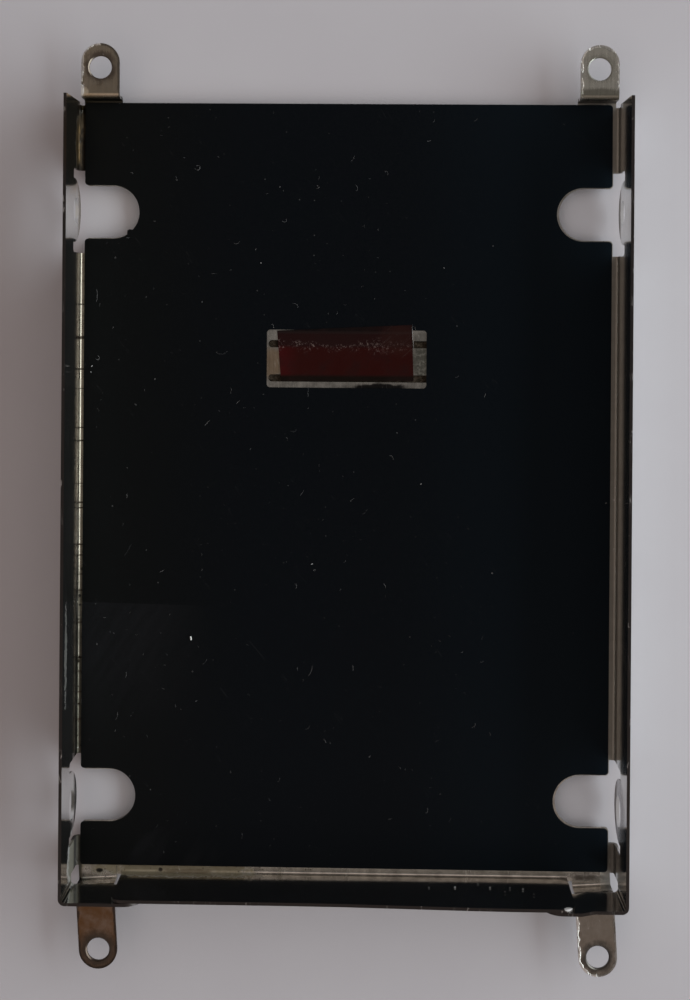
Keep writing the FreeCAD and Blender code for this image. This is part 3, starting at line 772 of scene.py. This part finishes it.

# %% [markdown]
# ## Painted shade in the slots
# The two slots beside the strap look dark and not pale like the other openings, as the paper under them
# lies in the tray's shade. A stain on the steel can't close a gap, so the shade is painted on a dark lumpy
# filling, a hair narrower than each slot.

# %% Painted shade in the slots
SLOT_ROWS = (16.615, 21.085)        # middle of each slot along the tray, in mm
SLOT_ENDS = (-10.35, 11.45)
SLOT_HALF = 0.465
END_GAP = 0.02
RIBS = 44
LUMPS = (0.10, 0.24)                # lowest and highest lump, in mm
SHADE_FOOT = 0.03
slot_shade_mesh = bmesh.new()
chance = random.Random(5)
for row in SLOT_ROWS:
    ribs = []
    for step in range(RIBS + 1):
        along = SLOT_ENDS[0] + END_GAP + (SLOT_ENDS[1] - SLOT_ENDS[0] - 2 * END_GAP) * step / RIBS
        to_end = min(along - SLOT_ENDS[0], SLOT_ENDS[1] - along, SLOT_HALF)
        half = math.sqrt(SLOT_HALF ** 2 - (SLOT_HALF - to_end) ** 2)
        top = [Vector((along, row + half * (1 - side / 2), chance.uniform(*LUMPS))) for side in range(5)]
        foot = [Vector((along, row + half * way, SHADE_FOOT)) for way in (-1, 1)]
        ribs.append([slot_shade_mesh.verts.new(corner * MM) for corner in top + foot])
    skin(slot_shade_mesh, ribs)
bmesh.ops.recalc_face_normals(slot_shade_mesh, faces=slot_shade_mesh.faces)
# the filler's dark colour is painted shade
slot_shade_finish, tree, shader, place = new_material("painted_slot_shade")
lumps = noise(tree, place, 2.5, 5.0, 0.7)
colour = mix(tree, spread(tree, lumps, 0.4, 0.7), (0.012, 0.009, 0.005, 1), (0.045, 0.034, 0.024, 1))
tree.links.new(colour, shader.inputs["Base Color"])
bump = add(tree, "Bump", {"Height": lumps, "Strength": 0.5, "Distance": 0.05 * MM})
tree.links.new(bump.outputs[0], shader.inputs["Normal"])
shader.inputs["Roughness"].default_value = 0.8
shader.inputs["Specular IOR Level"].default_value = 0.1
slot_shade = settle("slot_shade_filler", slot_shade_mesh, slot_shade_finish)
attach(slot_shade, "root")
print("grime in", len(SLOT_ROWS), "slots,", len(slot_shade.data.polygons), "faces")

# %% [markdown]
# ## Torn tab
# At the front left notch a scrap of the film was left when it was cut. It is too small for the solids, and
# it is only a flat sliver, so its corners are set down one by one, a hair below the film's upper face.

# %% Torn tab
TAB = [                             # columns and rows in the picture
    (127, 236), (127.3, 230.4), (129.5, 229.2), (134, 229.8), (135, 236),
]
TAB_TOP = FILM_TOP - 0.004
TAB_THICK = 0.14
tab_mesh = bmesh.new()
upper = [tab_mesh.verts.new(spot(column, row, TAB_TOP)) for column, row in TAB]
lower = [tab_mesh.verts.new(vert.co - Vector((0, 0, TAB_THICK * MM))) for vert in upper]
skin(tab_mesh, [upper, lower])
bmesh.ops.recalc_face_normals(tab_mesh, faces=tab_mesh.faces)
tab = settle("film_tab", tab_mesh, film)
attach(tab, "root")
print("film tab", len(tab.data.polygons), "faces")

# %% [markdown]
# ## Paper
# The tray lies on a sheet of pale paper. Its colour is faintly lilac, and it needs only a trace of tooth.
# The shadows are as wide as if the tray stood a little above it, so the paper lies that much lower.

# %% Paper
PAPER_HALF = 1.5                    # half the sheet's side, in metres
PAPER_DROP = 0.9                    # in mm
CORNERS = [(-PAPER_HALF, -PAPER_HALF, 0), (PAPER_HALF, -PAPER_HALF, 0),
           (PAPER_HALF, PAPER_HALF, 0), (-PAPER_HALF, PAPER_HALF, 0)]
paper_mesh = bpy.data.meshes.new("paper")
paper_mesh.from_pydata(CORNERS, [], [(0, 1, 2, 3)])
paper = bpy.data.objects.new("paper", paper_mesh)
paper.location.z = -PAPER_DROP * MM
bpy.context.scene.collection.objects.link(paper)
pulp, tree, shader, place = new_material("pale_paper")
cloud = noise(tree, place, 0.05, 5.0, 0.6)
colour = mix(tree, cloud, (0.40, 0.385, 0.405, 1), (0.43, 0.42, 0.435, 1))
tree.links.new(colour, shader.inputs["Base Color"])
tooth = noise(tree, place, 4.0, 3.0)
bump = add(tree, "Bump", {"Height": tooth, "Strength": 0.1, "Distance": 0.05 * MM})
tree.links.new(bump.outputs[0], shader.inputs["Normal"])
shader.inputs["Roughness"].default_value = 0.9
shader.inputs["Specular IOR Level"].default_value = 0.1
paper_mesh.materials.append(pulp)
print("paper", 2 * PAPER_HALF, "m wide")

# %% [markdown]
# ## Light
# A wide low window stands on the right, so the walls throw long soft shadows to the left. It is an area
# lamp, as a lamp's size is what softens a shadow.

# %% Window
WINDOW_WIDTH = 1.8
WINDOW_HEIGHT = 0.50
WINDOW_PLACE = Vector((0.75, 0.06, 0.31))
WINDOW_RADIANCE = 5.8
WINDOW_COLOUR = (0.86, 0.95, 1.0)
window_data = bpy.data.lights.new("window", "AREA")
window_data.shape = "RECTANGLE"
window_data.size = WINDOW_WIDTH
window_data.size_y = WINDOW_HEIGHT
window_data.energy = math.pi * WINDOW_WIDTH * WINDOW_HEIGHT * WINDOW_RADIANCE
window_data.color = WINDOW_COLOUR
window = bpy.data.objects.new("window", window_data)
window.location = WINDOW_PLACE
window.rotation_euler = WINDOW_PLACE.to_track_quat("Z", "Y").to_euler()
bpy.context.scene.collection.objects.link(window)
print("window", round(window_data.energy, 2), "W")

# %% [markdown]
# ## Room
# The warm room gives the rest of the light. Straight up it is dim, and that keeps the film black and the
# ears grey although both face the ceiling. A ramp from the horizon to the zenith is enough for that.

# %% Room
ROOM = [                            # rise above the horizon, and radiance
    (0.0, 0.20), (0.40, 0.28), (0.66, 0.66), (0.86, 0.66), (0.97, 0.17),
]
LESS_GREEN = 0.15                   # how much a warm light lacks
LESS_BLUE = 0.21
room = bpy.data.worlds.new("room")
room.use_nodes = True
tree = room.node_tree
rise = add(tree, "SeparateXYZ", {0: add(tree, "TexCoord").outputs["Generated"]}).outputs[2]
ramp = add(tree, "ValToRGB", {0: rise})
while len(ramp.color_ramp.elements) < len(ROOM):
    ramp.color_ramp.elements.new(0.5)
for element, (position, radiance) in zip(ramp.color_ramp.elements, ROOM):
    warmth = 1.0 if position < 0.9 else 0.4
    element.position = position
    element.color = (radiance, radiance * (1 - LESS_GREEN * warmth), radiance * (1 - LESS_BLUE * warmth), 1)
tree.links.new(ramp.outputs[0], tree.nodes["Background"].inputs["Color"])
bpy.context.scene.world = room
bpy.context.scene.view_settings.view_transform = "Standard"
print("room", len(ROOM), "steps")
